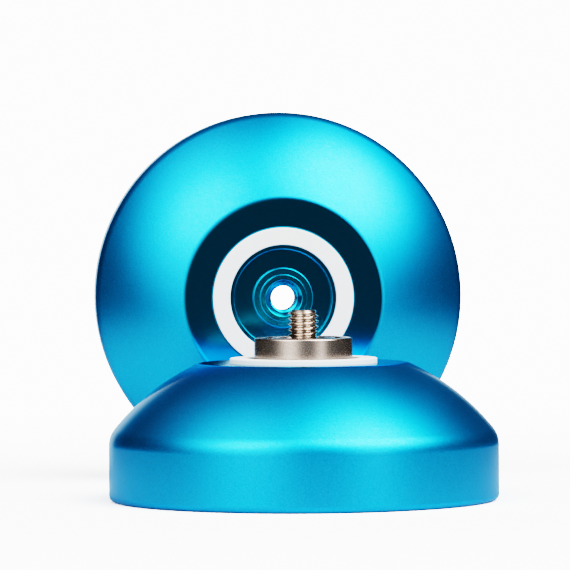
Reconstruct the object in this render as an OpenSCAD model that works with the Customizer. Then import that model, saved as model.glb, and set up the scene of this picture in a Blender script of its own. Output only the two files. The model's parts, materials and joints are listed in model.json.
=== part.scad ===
// Take-apart yo-yo: two aluminium halves, two response pads, a ball bearing and a threaded axle.
// The front half lies on its outer rim with its axis on Z. The rear half stands on its rim behind it.

/* [Halves] */
// Outside diameter of each half
half_d = 50.5; // [49:0.5:53]
// Height of a half, from its outer rim face to the wall beside the string gap
half_h = 17.8; // [17.4:0.1:18.4]
// Height of the straight band round the rim
band_h = 7.2; // [6.5:0.1:7.4]
// Radius of the round between the band and the dome
rim_round = 3.4; // [3:0.1:4]
// Angle that the rim round turns through before the dome takes over
rim_turn = 39; // [38:0.5:41]
// Radius of the dome's own curve
dome_round = 30; // [28:0.5:32]
// Radius of the round at the outer rim face
foot_round = 0.8; // [0.5:0.1:1.6]
// Radius of the round between the dome and the flat wall
wall_round = 1.2; // [0.8:0.1:1.6]

/* [Outer cup] */
// Width of the outer rim face
rim_w = 3.6; // [3:0.1:4.5]
// Thickness of the dome over the cup
dome_t = 2.4; // [2:0.1:3]
// Thickness of the wall over the cup
wall_t = 3.3; // [3:0.1:3.8]
// Radius of the round between the cup's side and its dome
cup_round = 3; // [2:0.1:4]
// Diameter of the hub boss inside the cup
boss_d = 10; // [9:0.1:12]
// How far the boss stands below the cup's ceiling
boss_drop = 3; // [2:0.1:4]

/* [Response pads] */
// Outside diameter of the pad
pad_od = 19.1; // [18.8:0.1:19.4]
// Inside diameter of the pad
pad_id = 14.4; // [14.3:0.1:15]
// Thickness of the pad
pad_t = 1.2; // [1:0.1:1.5]
// How far the pad stands above the wall
pad_proud = 0.6; // [0.3:0.1:0.8]

/* [Bearing] */
// Bore of the inner race
bore_d = 6.35; // [6.35:0.01:6.36]
// Outside diameter of the outer race
bearing_od = 12.7; // [12.6:0.1:12.8]
// Width of the bearing
bearing_w = 3.175; // [3:0.005:3.3]
// Diameter of each ball
ball_d = 1.588; // [1.5:0.004:1.588]
// Number of balls
ball_count = 8; // [6:1:8]

/* [Axle] */
// Outside diameter of the thread
axle_d = 4; // [3.9:0.1:4]
// Distance from one thread to the next
pitch = 0.7; // [0.6:0.05:0.8]
// Length of the axle
axle_length = 10; // [9:0.5:11]
// Height of the axle's foot when the halves are apart
axle_foot = 14.6; // [14:0.1:15]
// Width across the flats of the key socket
key_w = 2; // [1.5:0.1:2]

/* [Arrangement] */
// Distance from the front axis back to the centre of the rear half's pad
stand_off = 29.7; // [29:0.1:35]
// Distance that the centre of the rear half's pad stands to the left of the front axis
side_step = 2.55; // [-5:0.05:5]
// Angle that the rear half is turned to the right, towards the front axis
turn = 3.6; // [-10:0.1:10]

/* [Hidden] */
$fn = 96;
eps = 0.01;
half_r = half_d / 2;
cup_r = half_r - rim_w;
ceiling_h = half_h - wall_t;

// Centres of the arcs in the half's section, each one tangent to the next
rim_arc = [half_r - rim_round, band_h];
dome_arc = rim_arc - (dome_round - rim_round) * [cos(rim_turn), sin(rim_turn)];
wall_arc_h = half_h - wall_round;
wall_arc_r = dome_arc.x + sqrt(pow(dome_round - wall_round, 2) - pow(wall_arc_h - dome_arc.y, 2));
cup_dome = dome_round - dome_t;
cup_arc_r = cup_r - cup_round;
cup_arc = [cup_arc_r, dome_arc.y + sqrt(pow(cup_dome - cup_round, 2) - pow(cup_arc_r - dome_arc.x, 2))];

// Bearing seat, turned into the wall of each half
seat_fit = 0.015;
post_r = bore_d / 2 - seat_fit;
post_rise = 1.2;
shoulder_r = 4.08;
shoulder_h = half_h + 0.05;
recess_r = bearing_od / 2 + 0.25;
recess_depth = 1;
edge = 0.12;
pad_edge = 0.12;
pad_floor_h = half_h + pad_proud - pad_t;
groove_chamfer = 0.2;

// Axle hole: a key can reach the axle through the wide part of it
hole_r = axle_d / 2 + 0.05;
hole_chamfer = 0.5;
key_hole_r = 2.6;
thread_foot_h = half_h - 3.35;

// Bearing: each groove is a little rounder than the balls that run in it
pitch_r = (bore_d + bearing_od) / 4;
groove_r = ball_d / 2 + 0.04;
inner_land_r = pitch_r - 0.55;
outer_land_r = pitch_r + 0.55;
ball_h = shoulder_h + bearing_w / 2;
cage_t = 0.5;
cage_h = 0.95;
pocket_r = ball_d / 2 + 0.04;

// Thread: V-shaped ridges that follow a helix
thread_depth = 0.6134 * pitch;
thread_sides = 24;
tip_chamfer = 0.5;

// A straight side from the floor, a round, and a dome that the round runs into
module domed(side_r, round_centre, round_r, dome_r) {
    away = round_centre - dome_arc;
    tangent = round_centre + half_h * away / norm(away);
    intersection() {
        translate(dome_arc) circle(r = dome_r, $fn = 360);
        union() {
            square([side_r, round_centre.y]);
            translate(round_centre) circle(r = round_r);
            polygon([[0, round_centre.y], round_centre, tangent, [0, half_h * 2]]);
        }
    }
}

// Outer outline of a half: round foot, band, rim round, dome, wall round and flat wall
module outline() {
    intersection() {
        domed(half_r, rim_arc, rim_round, dome_round);
        union() {
            translate([0, foot_round]) square([half_r + eps, half_h]);
            square([half_r - foot_round, foot_round + eps]);
            translate([half_r - foot_round, foot_round]) circle(r = foot_round);
        }
        union() {
            square([half_r + eps, wall_arc_h]);
            square([wall_arc_r, half_h]);
            translate([wall_arc_r, wall_arc_h]) circle(r = wall_round);
        }
    }
}

// Hollow in the outer side, under a flat ceiling with a hub boss
module cup() {
    translate([0, -1]) square([cup_r, 1 + eps]);
    difference() {
        intersection() {
            domed(cup_r, cup_arc, cup_round, cup_dome);
            square([cup_r, ceiling_h]);
        }
        translate([0, ceiling_h - boss_drop]) square([boss_d / 2, boss_drop + eps]);
    }
}

// One half of the body, standing on its outer rim face
module half_body() {
    rotate_extrude() {
        difference() {
            union() {
                outline();
                translate([0, half_h - recess_depth]) square([shoulder_r, recess_depth]);
            }
            cup();
            translate([shoulder_r, half_h - recess_depth]) square([recess_r - shoulder_r, recess_depth + 1]);
            polygon([[recess_r - eps, half_h + eps], [recess_r + edge, half_h + eps], [recess_r - eps, half_h - edge]]);
            translate([pad_id / 2, pad_floor_h]) square([(pad_od - pad_id) / 2, pad_t + 1]);
            polygon([
                [pad_od / 2 - eps, half_h + eps],
                [pad_od / 2 + groove_chamfer, half_h + eps],
                [pad_od / 2 - eps, half_h - groove_chamfer]
            ]);
            translate([0, -1]) square([hole_r, half_h + 2]);
            translate([0, -1]) square([key_hole_r, thread_foot_h + 1]);
        }
        seat();
    }
}

// Shoulder and post that hold the inner race, with the mouth of the axle hole
module seat() {
    top = shoulder_h + post_rise;
    polygon([
        [hole_r, half_h - recess_depth - eps],
        [shoulder_r, half_h - recess_depth - eps],
        [shoulder_r, shoulder_h - edge],
        [shoulder_r - edge, shoulder_h],
        [post_r, shoulder_h],
        [post_r, top - edge],
        [post_r - edge, top],
        [hole_r + hole_chamfer, top],
        [hole_r, top - hole_chamfer]
    ]);
}

// Soft friction ring, with rounded top edges
module response_pad() {
    top = half_h + pad_proud;
    rotate_extrude() {
        translate([pad_id / 2, pad_floor_h]) square([(pad_od - pad_id) / 2, pad_t - pad_edge]);
        translate([pad_id / 2 + pad_edge, top - pad_edge - eps])
            square([(pad_od - pad_id) / 2 - 2 * pad_edge, pad_edge + eps]);
        translate([pad_id / 2 + pad_edge, top - pad_edge]) circle(r = pad_edge);
        translate([pad_od / 2 - pad_edge, top - pad_edge]) circle(r = pad_edge);
    }
}

// Stands its children on their rim behind the front half, facing it
module stand_behind() {
    translate([-side_step, stand_off, half_r])
        rotate([90, 0, turn])
            translate([0, 0, -half_h - pad_proud])
                children();
}

module front_shell() {
    color([0.02, 0.62, 0.78]) half_body();
}

module rear_shell() {
    color([0.02, 0.62, 0.78]) stand_behind() half_body();
}

module front_response_pad() {
    color([0.94, 0.94, 0.93]) response_pad();
}

module rear_response_pad() {
    color([0.94, 0.94, 0.93]) stand_behind() response_pad();
}

// Threaded rod whose ridges run past both ends, so that a trim can square them off.
// Column j of the surface starts j / thread_sides of a pitch higher than column 0.
module thread_blank(length) {
    rows = 2 * ceil(length / pitch) + 6;
    radii = [axle_d / 2 - thread_depth, axle_d / 2];
    ring = [
        for (j = [0 : thread_sides - 1])
            for (k = [0 : rows])
                let (a = 360 * j / thread_sides, r = radii[k % 2])
                    [r * cos(a), r * sin(a), pitch * (k / 2 + j / thread_sides - 1.5)]
    ];
    foot = len(ring);
    function at(j, k) = j < thread_sides ? j * (rows + 1) + k : k + 2;
    side_rows = function (j) j < thread_sides - 1 ? rows - 1 : rows - 3;
    sides = [
        for (j = [0 : thread_sides - 1])
            for (k = [0 : side_rows(j)])
                for (t = [[at(j, k), at(j + 1, k + 1), at(j + 1, k)], [at(j, k), at(j, k + 1), at(j + 1, k + 1)]])
                    t
    ];
    low = concat([for (j = [0 : thread_sides - 1]) at(j, 0)], [2, 1]);
    high = concat([for (j = [0 : thread_sides - 1]) at(j, rows)],
                  [at(thread_sides - 1, rows - 1), at(thread_sides - 1, rows - 2)]);
    polyhedron(
        points = concat(ring, [[0, 0, -2 * pitch], [0, 0, pitch * (rows / 2)]]),
        faces = concat(
            sides,
            [for (i = [0 : len(low) - 1]) [foot, low[i], low[(i + 1) % len(low)]]],
            [for (i = [0 : len(high) - 1]) [foot + 1, high[(i + 1) % len(high)], high[i]]]
        )
    );
}

// Headless screw: chamfered ends, thread all the way, and a key socket in the foot
module axle() {
    color([0.72, 0.68, 0.64])
        translate([0, 0, axle_foot])
            difference() {
                intersection() {
                    thread_blank(axle_length);
                    rotate_extrude()
                        polygon([
                            [0, 0],
                            [axle_d / 2 - tip_chamfer, 0],
                            [axle_d / 2 + eps, tip_chamfer],
                            [axle_d / 2 + eps, axle_length - tip_chamfer],
                            [axle_d / 2 - tip_chamfer, axle_length],
                            [0, axle_length]
                        ]);
                }
                translate([0, 0, -1]) cylinder(d = key_w / cos(30), h = 3, $fn = 6);
            }
}

// One bearing ring between two radii, with chamfered edges and a groove for the balls
module race(inside, outside) {
    chamfer = 0.15;
    color([0.70, 0.64, 0.58])
        translate([0, 0, shoulder_h])
            rotate_extrude()
                difference() {
                    polygon([
                        [inside + chamfer, 0],
                        [outside - chamfer, 0],
                        [outside, chamfer],
                        [outside, bearing_w - chamfer],
                        [outside - chamfer, bearing_w],
                        [inside + chamfer, bearing_w],
                        [inside, bearing_w - chamfer],
                        [inside, chamfer]
                    ]);
                    translate([pitch_r, bearing_w / 2]) circle(r = groove_r);
                }
}

module bearing_inner_race() {
    race(bore_d / 2, inner_land_r);
}

module bearing_outer_race() {
    race(outer_land_r, bearing_od / 2);
}

// Puts its children at ball number i's place
module at_ball(i) {
    rotate([0, 0, (i - 0.5) * 360 / ball_count]) translate([pitch_r, 0, ball_h]) children();
}

// Crown cage: a ring above the balls whose pockets snap over them
module bearing_cage() {
    color([0.62, 0.57, 0.50])
        difference() {
            translate([0, 0, ball_h + ball_d / 8])
                rotate_extrude()
                    translate([pitch_r - cage_t / 2, 0]) square([cage_t, cage_h]);
            for (i = [1 : ball_count]) at_ball(i) sphere(r = pocket_r);
        }
}

module bearing_ball(i) {
    color([0.75, 0.75, 0.76]) at_ball(i) sphere(d = ball_d);
}

front_shell();
front_response_pad();
rear_shell();
rear_response_pad();
axle();
bearing_inner_race();
bearing_outer_race();
bearing_cage();
for (i = [1 : ball_count]) bearing_ball(i);
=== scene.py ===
"""Looks for the take-apart yo-yo: two anodised halves, white pads, ball bearing and threaded axle."""
import json
import math

import bmesh
import bpy
from mathutils import Matrix, Vector


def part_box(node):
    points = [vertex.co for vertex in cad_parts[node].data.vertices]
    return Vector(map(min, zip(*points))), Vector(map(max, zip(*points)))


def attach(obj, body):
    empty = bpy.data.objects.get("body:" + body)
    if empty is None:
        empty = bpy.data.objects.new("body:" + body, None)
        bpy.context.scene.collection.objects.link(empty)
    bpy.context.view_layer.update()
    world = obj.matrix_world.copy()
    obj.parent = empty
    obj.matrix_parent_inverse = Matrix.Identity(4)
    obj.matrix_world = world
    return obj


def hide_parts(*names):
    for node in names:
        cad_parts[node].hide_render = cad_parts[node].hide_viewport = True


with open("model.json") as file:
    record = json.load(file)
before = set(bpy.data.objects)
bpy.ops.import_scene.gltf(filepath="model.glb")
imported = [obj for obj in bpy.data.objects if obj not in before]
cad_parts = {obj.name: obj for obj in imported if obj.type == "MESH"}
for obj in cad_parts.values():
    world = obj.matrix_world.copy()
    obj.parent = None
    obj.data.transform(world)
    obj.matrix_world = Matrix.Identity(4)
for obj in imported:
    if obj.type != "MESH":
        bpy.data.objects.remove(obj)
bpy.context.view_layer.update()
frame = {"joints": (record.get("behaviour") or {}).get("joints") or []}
MM = 0.001

# ---------------------------------------------------------------- sizes, in millimetres
# A half is described by its section: r from its own axis, z up from its outer rim face.
front_low, front_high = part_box("front_shell")
pad_low, pad_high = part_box("front_response_pad")
inner_low, inner_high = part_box("bearing_inner_race")
outer_low, outer_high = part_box("bearing_outer_race")
axle_low, axle_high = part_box("axle")

# Response pad, and the flat wall that it stands a little above
PAD_TOP = pad_high.z / MM
PAD_FOOT = pad_low.z / MM
PAD_R = (pad_high.x - pad_low.x) / 2 / MM
PAD_HOLE_R = 7.2
PAD_PROUD = 0.6
PAD_ROUND = 0.12
PAD_GAP = 0.01
WALL_H = PAD_TOP - PAD_PROUD

# Body of a half. The round beside the wall is a little softer than the solid's.
HALF_R = (front_high.x - front_low.x) / 2 / MM
BAND_H = 7.2
RIM_ROUND = 3.4
RIM_TURN = 39.0
DOME_ROUND = 30.0
FOOT_ROUND = 0.8
WALL_ROUND = 1.8

# Outer cup
RIM_W = 3.6
RIM_CHAMFER = 0.3
DOME_T = 2.4
WALL_T = 3.3
CUP_R = HALF_R - RIM_W
CUP_ROUND = 3.0
CEILING_H = WALL_H - WALL_T
BOSS_R = 5.0
BOSS_DROP = 3.0

# Bearing
BEARING_FOOT = inner_low.z / MM
BEARING_TOP = inner_high.z / MM
BEARING_R = (outer_high.x - outer_low.x) / 2 / MM
BORE_R = 3.175
PITCH_R = (BORE_R + BEARING_R) / 2
LAND_GAP = 0.55
RACE_CHAMFER = 0.16
BALL_R = 0.794
BALL_GAP = 0.04
BALL_H = (BEARING_FOOT + BEARING_TOP) / 2
BALL_COUNT = 8
CAGE_T = 0.5
CAGE_H = 0.95

# Bearing seat: a post inside the bearing, a shoulder under it, and a recess round both
SEAT_FIT = 0.015
POST_TOP = front_high.z / MM
POST_R = BORE_R - SEAT_FIT
SHOULDER_R = 4.08
RECESS_GAP = 0.25
RECESS_DEPTH = 1.0
RECESS_R = BEARING_R + RECESS_GAP
RECESS_H = WALL_H - RECESS_DEPTH

# M4 thread: crest and root of the axle, and of the tapped hole that clears it
PITCH = 0.7
AXLE_FOOT = axle_low.z / MM
AXLE_TIP = axle_high.z / MM
AXLE_CREST = 1.98
AXLE_ROOT = 1.59
AXLE_CHAMFER = 0.45
AXLE_TIP_R = AXLE_CREST - AXLE_CHAMFER
KEY_FLAT = 1.0
KEY_DEPTH = 2.2
KEY_CHAMFER = 0.12
TAP_CREST = 1.66
TAP_ROOT = 2.05
TAP_DEPTH = 3.35
TAP_FOOT = WALL_H - TAP_DEPTH
MOUTH_R = 2.5
KEY_HOLE_R = 2.6

# Where the rear half's pad stands, and the height at which it is offered up over the axle
STAND_OFF = 29.7
SIDE_STEP = 2.55
TURN = math.radians(3.6)
HOVER = 26.03


# ---------------------------------------------------------------- outline helpers
def evenly(low, high, steps):
    """Values from low to high in equal steps, with both ends."""
    return [low + (high - low) * i / steps for i in range(steps + 1)]


def arc(cr, cz, radius, start, end, steps):
    """Points of an arc in the section, angles in degrees from the r axis."""
    turns = [math.radians(a) for a in evenly(start, end, steps)]
    return [(cr + radius * math.cos(a), cz + radius * math.sin(a)) for a in turns]


def rounded(points, radius, steps=4):
    """An open outline whose inner corners each get a small round."""
    out = [points[0]]
    for before, corner, after in zip(points, points[1:], points[2:]):
        c = Vector(corner)
        a = Vector(before) - c
        b = Vector(after) - c
        cut = min(radius, a.length * 0.45, b.length * 0.45)
        p = c + a.normalized() * cut
        q = c + b.normalized() * cut
        for t in evenly(0, 1, steps):
            out.append(tuple(p * (1 - t) ** 2 + c * 2 * t * (1 - t) + q * t * t))
    out.append(points[-1])
    return out


def with_supports(outline, near=0.03, long=0.25):
    """Adds a point close to each end of a long straight run, so that smooth shading stays flat along it."""
    out = []
    for i, point in enumerate(outline):
        a = Vector(point)
        b = Vector(outline[(i + 1) % len(outline)])
        out.append(point)
        run = b - a
        if run.length > long:
            step = run.normalized() * near
            out += [tuple(a + step), tuple(b - step)]
    return out


def thread_wave(phase):
    """Height of a V thread at a phase in turns: 1 on the crest, 0 in the root."""
    crest = 1 / 16
    flank = 5 / 16
    away = abs(phase - round(phase))
    return min(1.0, max(0.0, (crest + flank - away) / flank))


# ---------------------------------------------------------------- mesh helpers
def metres(*place):
    """A place in metres, from its millimetres."""
    return Vector([value * MM for value in place])


def add_object(name, bm, smooth=True):
    """Puts a finished bmesh in the scene as an object."""
    mesh = bpy.data.meshes.new(name)
    bm.to_mesh(mesh)
    bm.free()
    mesh.polygons.foreach_set("use_smooth", [smooth] * len(mesh.polygons))
    obj = bpy.data.objects.new(name, mesh)
    bpy.context.scene.collection.objects.link(obj)
    return obj


def lathe(name, rows, sides, closed=True):
    """Turns rows of (radius or a function of angle, height) into an object round the local Z axis."""
    bm = bmesh.new()
    rings = []
    for radius, z in rows:
        ring = []
        for j in range(sides):
            a = math.tau * j / sides
            r = radius(a) if callable(radius) else radius
            ring.append(bm.verts.new(metres(r * math.cos(a), r * math.sin(a), z)))
        rings.append(ring)
    pairs = list(zip(rings, rings[1:]))
    if closed:
        pairs.append((rings[-1], rings[0]))
    else:
        bm.faces.new(rings[0][::-1])
        bm.faces.new(rings[-1])
    for low, high in pairs:
        for j in range(sides):
            k = (j + 1) % sides
            bm.faces.new((low[j], low[k], high[k], high[j]))
    bmesh.ops.recalc_face_normals(bm, faces=bm.faces)
    return add_object(name, bm)


def fit(obj, body, node, slot):
    """Gives a piece its material and its body, and lets it stand for its CAD node."""
    obj.data.materials.clear()
    obj.data.materials.append(MATERIALS[slot])
    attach(obj, body)
    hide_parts(node)


# ---------------------------------------------------------------- the two halves
def rim_centre():
    """The rim's round starts at the top of the straight band."""
    return HALF_R - RIM_ROUND, BAND_H


def dome_centre():
    """The dome's round runs into the rim's where the rim has turned through RIM_TURN."""
    r, z = rim_centre()
    reach = DOME_ROUND - RIM_ROUND
    turn = math.radians(RIM_TURN)
    return r - reach * math.cos(turn), z - reach * math.sin(turn)


def outer_outline():
    """From the wall's edge, over the dome and round the rim, to the outer rim face."""
    dr, dz = dome_centre()
    rr, rz = rim_centre()
    wz = WALL_H - WALL_ROUND
    wr = dr + math.sqrt((DOME_ROUND - WALL_ROUND) ** 2 - (wz - dz) ** 2)
    turn = math.degrees(math.atan2(wz - dz, wr - dr))
    return (
        arc(wr, wz, WALL_ROUND, 90, turn, 6)
        + arc(dr, dz, DOME_ROUND, turn, RIM_TURN, 26)[1:]
        + arc(rr, rz, RIM_ROUND, RIM_TURN, 0, 16)[1:]
        + arc(HALF_R - FOOT_ROUND, FOOT_ROUND, FOOT_ROUND, 0, -90, 10)
    )


def cup_outline():
    """From the outer rim face, up the cup's side, along its ceiling to the boss, and into the key hole."""
    dr, dz = dome_centre()
    reach = DOME_ROUND - DOME_T
    cr = CUP_R - CUP_ROUND
    cz = dz + math.sqrt((reach - CUP_ROUND) ** 2 - (cr - dr) ** 2)
    turn = math.degrees(math.atan2(cz - dz, cr - dr))
    meet = math.degrees(math.asin((CEILING_H - dz) / reach))
    before_meet, at_meet = arc(dr, dz, reach, meet - 1, meet, 1)
    boss_face = CEILING_H - BOSS_DROP
    ceiling = [
        before_meet,
        at_meet,
        (BOSS_R, CEILING_H),
        (BOSS_R, boss_face),
        (KEY_HOLE_R + RIM_CHAMFER, boss_face),
        (KEY_HOLE_R, boss_face + RIM_CHAMFER),
        (KEY_HOLE_R, TAP_FOOT),
        (TAP_ROOT + 0.2, TAP_FOOT),
    ]
    return (
        [(CUP_R + RIM_CHAMFER, 0), (CUP_R, RIM_CHAMFER)]
        + arc(cr, cz, CUP_ROUND, 0, turn, 12)
        + arc(dr, dz, reach, turn, meet - 1, 16)[1:-1]
        + rounded(ceiling, radius=0.35, steps=5)[:-1]
    )


def seat_outline():
    """From the hole's mouth, over the post and shoulder, across the recess and pad groove, to the wall."""
    post = 0.04
    edge = 0.13
    groove = 0.17
    outline = (
        [(MOUTH_R, POST_TOP)]
        + arc(POST_R - post, POST_TOP - post, post, 90, 0, 5)
        + [(POST_R, BEARING_FOOT)]
        + arc(SHOULDER_R - edge, BEARING_FOOT - edge, edge, 90, 0, 5)
        + [(SHOULDER_R, RECESS_H), (RECESS_R, RECESS_H)]
        + arc(RECESS_R + edge, WALL_H - edge, edge, 180, 90, 5)
        + [(PAD_HOLE_R, WALL_H), (PAD_HOLE_R, PAD_FOOT), (PAD_R, PAD_FOOT)]
        + arc(PAD_R + groove, WALL_H - groove, groove, 180, 90, 6)
        + [(PAD_R + 2.0, WALL_H)]
    )
    return rounded(outline, radius=0.04, steps=3)


def tap_rows(thread_turn):
    """The threaded hole, from its foot to its chamfered mouth."""
    mouth = POST_TOP - (MOUTH_R - TAP_CREST)

    def tapped(z):
        """The hole's radius all round at one height. The thread fades in and ends in the mouth's cone."""
        fade = min(1.0, (z - TAP_FOOT) / 0.15 + 0.3)
        cone = TAP_CREST + max(0.0, z - mouth)

        def radius(a):
            deep = thread_wave(z / PITCH - a / math.tau - thread_turn)
            return max(cone, TAP_CREST + (TAP_ROOT - TAP_CREST) * deep * fade)

        return radius

    heights = evenly(TAP_FOOT, mouth, 84) + evenly(mouth, POST_TOP, 12)[1:-1]
    return [(tapped(z), z) for z in heights]


def half(name, thread_turn):
    """The body of a half: its section turned round, with the threaded hole through the middle."""
    outline = with_supports(seat_outline() + outer_outline() + cup_outline())
    return lathe(name, outline + tap_rows(thread_turn), sides=180)


def pad(name):
    """A flat ring with rounded upper edges and a small chamfer at its foot."""
    chamfer = 0.05
    inside = PAD_HOLE_R + PAD_GAP
    outside = PAD_R - PAD_GAP
    outline = (
        arc(outside - PAD_ROUND, PAD_TOP - PAD_ROUND, PAD_ROUND, 0, 90, 6)
        + arc(inside + PAD_ROUND, PAD_TOP - PAD_ROUND, PAD_ROUND, 90, 180, 6)
        + [(inside, PAD_FOOT + chamfer), (inside + chamfer, PAD_FOOT)]
        + [(outside - chamfer, PAD_FOOT), (outside, PAD_FOOT + chamfer)]
    )
    return lathe(name, with_supports(outline), sides=180)


def rear_place():
    """Carries a half from its own axes to where the rear half stands."""
    return (
        Matrix.Translation(metres(-SIDE_STEP, STAND_OFF, HALF_R))
        @ Matrix.Rotation(TURN, 4, "Z")
        @ Matrix.Rotation(math.pi / 2, 4, "X")
        @ Matrix.Translation(metres(0, 0, -PAD_TOP))
    )


def rear_thread_turn():
    """Turns by which the rear half's thread starts later, so that it meets the axle's when offered up."""
    carry = next(j for j in frame["joints"] if j["name"] == "rear_half_carry")
    swing = Matrix.Rotation(math.radians(carry["range_deg"][1]), 3, Vector(carry["axis"]))
    across = swing @ Vector((math.cos(TURN), math.sin(TURN), 0))
    start = math.atan2(across.y, across.x)
    return (HOVER + PAD_TOP) / PITCH - start / math.tau


def build_halves():
    for side, place, thread_turn in (
        ("front", Matrix(), 0.0),
        ("rear", rear_place(), rear_thread_turn()),
    ):
        shell = half(f"{side}_half_shell", thread_turn)
        ring = pad(f"{side}_pad_ring")
        shell.matrix_world = place
        ring.matrix_world = place
        fit(shell, f"{side}_half", f"{side}_shell", "anodised")
        fit(ring, f"{side}_half", f"{side}_response_pad", "pad")


# ---------------------------------------------------------------- axle
def key_socket(a):
    """Radius of the hexagonal key socket in a direction."""
    sector = math.radians(60)
    return KEY_FLAT / math.cos((a + sector / 2) % sector - sector / 2)


def flared_socket(a):
    return key_socket(a) + KEY_CHAMFER


def threaded(z):
    """The axle's radius all round at one height, cut back by the chamfer at each end."""
    limit = min(AXLE_CREST, AXLE_TIP_R + min(z - AXLE_FOOT, AXLE_TIP - z))

    def radius(a):
        wave = thread_wave(z / PITCH - a / math.tau)
        return min(limit, AXLE_ROOT + (AXLE_CREST - AXLE_ROOT) * wave)

    return radius


def build_axle():
    """A headless screw: thread all the way, chamfered ends, hexagonal key socket in the foot."""
    rows_per_turn = 18
    socket_top = AXLE_FOOT + KEY_DEPTH
    socket_point = socket_top + 0.3
    heights = evenly(AXLE_FOOT, AXLE_TIP, int((AXLE_TIP - AXLE_FOOT) / PITCH * rows_per_turn))
    rows = [
        (0.05, socket_point),
        (key_socket, socket_top),
        (key_socket, AXLE_FOOT + KEY_CHAMFER),
        (flared_socket, AXLE_FOOT),
        (AXLE_TIP_R - 0.05, AXLE_FOOT),
        *((threaded(z), z) for z in heights),
        (AXLE_TIP_R - 0.06, AXLE_TIP),
        (0.3, AXLE_TIP),
        (0.02, AXLE_TIP),
    ]
    screw = lathe("threaded_axle", rows, sides=96, closed=False)
    screw.data.set_sharp_from_angle(angle=math.radians(50))
    fit(screw, "axle_rod", "axle", "axle_steel")


# ---------------------------------------------------------------- bearing
def race_outline(groove_face, plain_face):
    """Section of one ring: rounded chamfers, and a groove for the balls in one of its two round faces."""
    low, high = BEARING_FOOT, BEARING_TOP
    facing = math.copysign(1, groove_face - plain_face)
    chamfer = RACE_CHAMFER
    inset = facing * chamfer
    corners = [
        (groove_face, BALL_H - 1),
        (groove_face, low + chamfer),
        (groove_face - inset, low),
        (plain_face + inset, low),
        (plain_face, low + chamfer),
        (plain_face, high - chamfer),
        (plain_face + inset, high),
        (groove_face - inset, high),
        (groove_face, high - chamfer),
        (groove_face, BALL_H + 1),
    ]
    groove_r = BALL_R + BALL_GAP
    dip = facing * math.degrees(math.acos(LAND_GAP / groove_r))
    middle = 90 + 90 * facing
    groove = arc(PITCH_R, BALL_H, groove_r, middle - dip, middle + dip, 12)
    return rounded(corners, radius=0.08)[:-1] + groove


def build_races():
    for side, groove_face, plain_face, sides in (
        ("inner", PITCH_R - LAND_GAP, BORE_R, 128),
        ("outer", PITCH_R + LAND_GAP, BEARING_R, 180),
    ):
        race = lathe(f"{side}_race_ring", with_supports(race_outline(groove_face, plain_face)), sides)
        fit(race, f"{side}_race", f"bearing_{side}_race", "bearing_steel")


def ball_place(i):
    a = math.tau * (i - 0.5) / BALL_COUNT
    return metres(PITCH_R * math.cos(a), PITCH_R * math.sin(a), BALL_H)


def build_balls():
    for i in range(1, BALL_COUNT + 1):
        bm = bmesh.new()
        bmesh.ops.create_icosphere(bm, subdivisions=4, radius=BALL_R * MM)
        ball = add_object(f"polished_ball_{i}", bm)
        ball.location = ball_place(i)
        fit(ball, f"ball_{i}", f"bearing_ball_{i}", "ball_steel")


def cut_away(obj, cutter):
    """Takes the cutter's space out of an object's mesh, and removes the cutter."""
    cut = obj.modifiers.new("cut", "BOOLEAN")
    cut.object = cutter
    cut.solver = "EXACT"
    bpy.context.view_layer.update()
    evaluated = obj.evaluated_get(bpy.context.evaluated_depsgraph_get())
    shaped = bpy.data.meshes.new_from_object(evaluated)
    obj.modifiers.clear()
    obj.data = shaped
    bpy.data.objects.remove(cutter)


def build_cage():
    """A crown: a thin ring above the balls, cut by a round pocket over each one."""
    low = BALL_H + BALL_R / 4
    high = low + CAGE_H
    middle = (low + high) / 2
    inside = PITCH_R - CAGE_T / 2
    outside = PITCH_R + CAGE_T / 2
    outline = [
        (outside, middle),
        (outside, high),
        (inside, high),
        (inside, low),
        (outside, low),
        (outside, middle - 0.01),
    ]
    cage = lathe("crown_cage", rounded(outline, radius=0.1), sides=24 * BALL_COUNT)
    pocket_r = (BALL_R + BALL_GAP) * MM
    bm = bmesh.new()
    for i in range(1, BALL_COUNT + 1):
        place = Matrix.Translation(ball_place(i))
        bmesh.ops.create_uvsphere(bm, u_segments=48, v_segments=24, radius=pocket_r, matrix=place)
    cut_away(cage, add_object("pockets", bm, smooth=False))
    cage.data.set_sharp_from_angle(angle=math.radians(35))
    fit(cage, "cage", "bearing_cage", "cage_steel")


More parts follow.
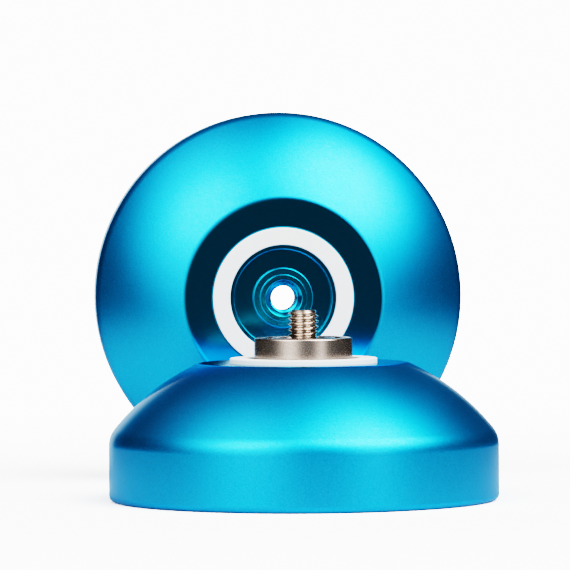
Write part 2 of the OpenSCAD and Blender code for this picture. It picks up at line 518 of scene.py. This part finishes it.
# ---------------------------------------------------------------- shader helpers
class Shader:
    """Short ways to build a node tree. A value is another node's output, a number, a vector or a colour."""

    def __init__(self, tree):
        self.nodes = tree.nodes
        self.links = tree.links

    def feed(self, node, inputs):
        """Gives a node's inputs, by name or number, their values. A colour has three numbers."""
        for key, value in inputs.items():
            socket = node.inputs[key]
            if value is None:
                continue
            if isinstance(value, bpy.types.NodeSocket):
                self.links.new(value, socket)
            elif socket.type == "RGBA":
                socket.default_value = (*value, 1)
            else:
                socket.default_value = value

    def node(self, kind, inputs, **settings):
        """Adds a node and returns its outputs."""
        node = self.nodes.new("ShaderNode" + kind)
        for name, value in settings.items():
            setattr(node, name, value)
        self.feed(node, inputs)
        return node.outputs

    def coordinates(self, kind):
        return self.node("TexCoord", {})[kind]

    def camera_ray(self):
        """1 where the camera itself looks, 0 for light on its way round the scene."""
        return self.node("LightPath", {})["Is Camera Ray"]

    def noise(self, vector, size_mm, detail=3.0, roughness=0.5):
        """A noise pattern whose features are about size_mm across."""
        scale = 1 / (size_mm * MM)
        inputs = {"Vector": vector, "Scale": scale, "Detail": detail, "Roughness": roughness}
        return self.node("TexNoise", inputs)["Fac"]

    def remap(self, value, low, high, from_low=0.3, from_high=0.7, curve="LINEAR"):
        """Goes from low to high as the value goes from from_low to from_high."""
        inputs = {
            "Value": value,
            "From Min": from_low,
            "From Max": from_high,
            "To Min": low,
            "To Max": high,
        }
        return self.node("MapRange", inputs, interpolation_type=curve)["Result"]

    def blend(self, factor, a, b):
        """Goes from the number a to b as the factor goes from 0 to 1."""
        return self.node("Mix", {"Factor": factor, "A": a, "B": b})["Result"]

    def blend_colour(self, factor, a, b):
        return self.node("Mix", {"Factor": factor, "A": a, "B": b}, data_type="RGBA")["Result"]

    def maths(self, operation, *values):
        return self.node("Math", dict(enumerate(values)), operation=operation)["Value"]

    def length(self, vector):
        return self.node("VectorMath", {0: vector}, operation="LENGTH")["Value"]

    def bump(self, height, strength, distance_mm, over=None):
        """A surface normal from a height, laid over another normal if one is given."""
        inputs = {"Height": height, "Strength": strength, "Distance": distance_mm * MM, "Normal": over}
        return self.node("Bump", inputs)["Normal"]

    def surface(self, **inputs):
        """Gives the material's own surface node its values, by input name with _ for each space."""
        named = {name.replace("_", " "): value for name, value in inputs.items()}
        self.feed(self.nodes["Principled BSDF"], named)


def new_material(name):
    material = bpy.data.materials.new(name)
    material.use_nodes = True
    return material, Shader(material.node_tree)


# ---------------------------------------------------------------- materials
BLASTED_COLOURS = (0.003, 0.35, 0.75), (0.014, 0.42, 0.89)
TURNED_WALL_COLOUR = (0.004, 0.30, 0.48)
TURNED_POST_COLOUR = (0.012, 0.44, 0.68)
COAT_TINT = (0.02, 0.6, 0.85)

# The wall and seat keep their turned surface, out to this radius and down to this height
TURNED_R = 13.5
TURNED_H = WALL_H - 2.5


def turned_zone(shader, where):
    """1 on the turned wall and seat, and 0 on the blasted rest. Also the radius, in metres."""
    parts = shader.node("SeparateXYZ", {0: where})
    radius = shader.length(shader.node("CombineXYZ", {"X": parts["X"], "Y": parts["Y"]})["Vector"])
    inside = shader.remap(radius, 1, 0, (TURNED_R - 0.2) * MM, (TURNED_R + 0.4) * MM)
    above = shader.remap(parts["Z"], 0, 1, TURNED_H * MM, (TURNED_H + 0.1) * MM)
    return shader.maths("MULTIPLY", inside, above), radius


def anodised():
    """Dyed oxide on aluminium: blasted and satin outside, with a fine grain, and smoother where turned."""
    material, shader = new_material("aqua_anodised")
    where = shader.coordinates("Object")
    turned, radius = turned_zone(shader, where)

    speck = shader.noise(where, size_mm=0.2, detail=2.0, roughness=0.6)
    blasted_colour = shader.blend_colour(shader.remap(speck, 0, 1, 0.36, 0.64), *BLASTED_COLOURS)
    post = shader.remap(radius, 1, 0, SHOULDER_R * MM, (SHOULDER_R + 0.1) * MM)
    turned_colour = shader.blend_colour(post, TURNED_WALL_COLOUR, TURNED_POST_COLOUR)

    cloud = shader.noise(where, size_mm=9.0, detail=2.0)
    blasted_roughness = shader.remap(cloud, 0.345, 0.365)

    grain = shader.noise(where, size_mm=0.3, detail=4.0, roughness=0.7)
    rings = {"W": radius, "Scale": 1 / (0.09 * MM), "Detail": 2.0}
    tool_marks = shader.node("TexNoise", rings, noise_dimensions="1D")["Fac"]
    texture = shader.blend(turned, grain, shader.maths("MULTIPLY", tool_marks, 0.06))

    shader.surface(
        Base_Color=shader.blend_colour(turned, blasted_colour, turned_colour),
        Metallic=1.0,
        Roughness=shader.blend(turned, blasted_roughness, 0.13),
        Specular_Tint=COAT_TINT,
        Coat_Weight=shader.blend(turned, 0.42, 0.08),
        Coat_Roughness=shader.blend(turned, 0.11, 0.14),
        Coat_IOR=1.42,
        Normal=shader.bump(texture, strength=1.0, distance_mm=0.015),
    )
    return material


def silicone():
    """Matt white rubber that lets a little light in, with a fine grain."""
    material, shader = new_material("white_silicone")
    grain = shader.noise(shader.coordinates("Object"), size_mm=0.12)
    shade = shader.remap(grain, 0, 1)
    shader.surface(
        Base_Color=shader.blend_colour(shade, (0.80, 0.80, 0.79), (0.86, 0.86, 0.85)),
        Roughness=0.6,
        Subsurface_Weight=0.15,
        Subsurface_Radius=metres(0.6, 0.5, 0.4),
        Subsurface_Scale=1.0,
        Normal=shader.bump(grain, strength=0.3, distance_mm=0.01),
    )
    return material


def steel(name, dark, light, roughness, scratch_mm, worn):
    """Steel with fine grinding lines round its axis, and specks where it is more worn and so rougher."""
    material, shader = new_material(name)
    where = shader.coordinates("Object")
    drawn_out = shader.node("Mapping", {"Vector": where, "Scale": (0.06, 0.06, 1.0)})["Vector"]
    lines = shader.noise(drawn_out, scratch_mm, roughness=0.7)
    specks = shader.noise(where, size_mm=0.22, detail=5.0, roughness=0.75)
    ground = shader.bump(lines, strength=0.2, distance_mm=0.01)
    shade = shader.remap(specks, 0, 1, 0.35, 0.65)
    shader.surface(
        Base_Color=shader.blend_colour(shade, dark, light),
        Metallic=1.0,
        Roughness=shader.remap(specks, roughness + worn, roughness),
        Normal=shader.bump(specks, strength=0.12, distance_mm=0.01, over=ground),
    )
    return material


# Steels by slot: name, dark and light colour, roughness, width of grinding lines, extra roughness where worn
STEELS = {
    "axle_steel": ("bright_axle_steel", (0.56, 0.46, 0.39), (0.72, 0.61, 0.53), 0.15, 0.1, 0.06),
    "bearing_steel": ("ground_bearing_steel", (0.41, 0.335, 0.29), (0.60, 0.51, 0.45), 0.22, 0.06, 0.08),
    "cage_steel": ("pressed_cage_steel", (0.50, 0.44, 0.34), (0.66, 0.60, 0.50), 0.3, 0.1, 0.1),
    "ball_steel": ("polished_ball_steel", (0.70, 0.70, 0.72), (0.80, 0.80, 0.82), 0.06, 0.2, 0.03),
}
MATERIALS = {"anodised": anodised(), "pad": silicone()}
MATERIALS.update({slot: steel(*values) for slot, values in STEELS.items()})


# ---------------------------------------------------------------- floor
# Grey of the floor as the object reflects it, and as the camera sees it: overexposed, like the backdrop
FLOOR_TONE = 0.48
FLOOR_WHITE = 2.0

# The floor is solid near the object and fades out towards its edge
FLOOR_SOLID_R = 60
FLOOR_R = 190
FLOOR_BACK = 20


def build_floor():
    bm = bmesh.new()
    bmesh.ops.create_circle(bm, cap_ends=True, segments=96, radius=FLOOR_R * MM)
    floor = add_object("floor", bm, smooth=False)
    floor.location = metres(0, FLOOR_BACK, 0)
    material, shader = new_material("pale_floor")
    away = shader.length(shader.coordinates("Object"))
    shader.surface(
        Base_Color=shader.blend_colour(shader.camera_ray(), [FLOOR_TONE] * 3, [FLOOR_WHITE] * 3),
        Roughness=0.9,
        Specular_IOR_Level=0.0,
        Alpha=shader.remap(away, 1, 0, FLOOR_SOLID_R * MM, FLOOR_R * MM),
    )
    floor.data.materials.append(material)


# ---------------------------------------------------------------- light
# Soft panels as seen from the object, in degrees. Azimuth 0 is towards the camera and positive to the right.
# azimuth, elevation, width over height, tilt, bright core's half-height, faded edge's half-height, strength
PANELS = [
    # Tall soft lights on the right and left, and the brighter one inside each
    (54, 43, 0.33, -28, 21, 62, 2.45),
    (-42, 33, 0.45, 24, 20, 66, 2.3),
    (53, 52, 1.2, -22, 8, 36, 7.7),
    (-38, 41, 1.2, 63, 4, 26, 4.3),
    # The lit backdrop, low behind the object
    (187, 0, 0.9, 0, 14, 27, 1.35),
    # Weak lights: behind the camera, low on the right, and a wide one high on the left
    (0, 2, 1.0, 0, 8, 30, 0.085),
    (45, 2, 0.4, 0, 4, 34, 0.9),
    (-47, 67, 3.7, -15, 1, 34, 0.25),
]
ROOM_STRENGTH = 0.035
BACKDROP_STRENGTH = 6.0
WHITE = (1, 1, 1)


def panel(shader, direction, azimuth, elevation, width, tilt, core, edge, strength):
    """Brightness of one elliptical panel, seen in a direction."""
    az, el, roll = (math.radians(angle) for angle in (azimuth, elevation, tilt))
    towards = Vector((math.sin(az) * math.cos(el), -math.cos(az) * math.cos(el), math.sin(el)))
    right = Vector((math.cos(az), math.sin(az), 0))
    up = towards.cross(right)
    across = (right * math.cos(roll) + up * math.sin(roll)) / width
    along = up * math.cos(roll) - right * math.sin(roll)
    local = {}
    for name, axis in (("X", across), ("Y", along), ("Z", towards)):
        dot = shader.node("VectorMath", {0: direction, 1: axis}, operation="DOT_PRODUCT")
        local[name] = dot["Value"]
    seen = shader.node("CombineXYZ", local)["Vector"]
    unit = shader.node("VectorMath", {0: seen}, operation="NORMALIZE")["Vector"]
    away = shader.maths("ARCCOSINE", shader.node("SeparateXYZ", {0: unit})["Z"])
    return shader.remap(away, 0, strength, math.radians(edge), math.radians(core), "SMOOTHSTEP")


def build_light():
    """A world of soft panels round a dark room, seen as plain white by the camera."""
    world = bpy.data.worlds.new("studio")
    bpy.context.scene.world = world
    world.use_nodes = True
    world.node_tree.nodes.clear()
    shader = Shader(world.node_tree)
    direction = shader.coordinates("Generated")
    total = ROOM_STRENGTH
    for values in PANELS:
        total = shader.maths("ADD", total, panel(shader, direction, *values))
    room = shader.node("Background", {"Color": WHITE, "Strength": total})["Background"]
    bright = {"Color": WHITE, "Strength": BACKDROP_STRENGTH}
    backdrop = shader.node("Background", bright)["Background"]
    mixed = shader.node("MixShader", {0: shader.camera_ray(), 1: room, 2: backdrop})["Shader"]
    shader.node("OutputWorld", {"Surface": mixed})


# ---------------------------------------------------------------- camera
# A long lens, low over the table, a touch nose down and level but for a slight lean
LENS_MM = 302.9
SENSOR_MM = 36
CAMERA_PLACE = (-2.34, -620, 44.6)
CAMERA_PITCH = math.radians(-1.55)
CAMERA_LEAN = math.radians(-0.3)


def build_camera():
    data = bpy.data.cameras.new("camera")
    data.lens = LENS_MM
    data.sensor_width = SENSOR_MM
    data.clip_start = 0.01
    camera = bpy.data.objects.new("camera", data)
    bpy.context.scene.collection.objects.link(camera)
    camera.matrix_world = (
        Matrix.Translation(metres(*CAMERA_PLACE))
        @ Matrix.Rotation(math.pi / 2 + CAMERA_PITCH, 4, "X")
        @ Matrix.Rotation(CAMERA_LEAN, 4, "Z")
    )
    bpy.context.scene.camera = camera


build_halves()
build_axle()
build_races()
build_cage()
build_balls()
build_floor()
build_light()
build_camera()
bpy.context.scene.view_settings.view_transform = "Filmic"
bpy.context.scene.view_settings.look = "Very High Contrast"
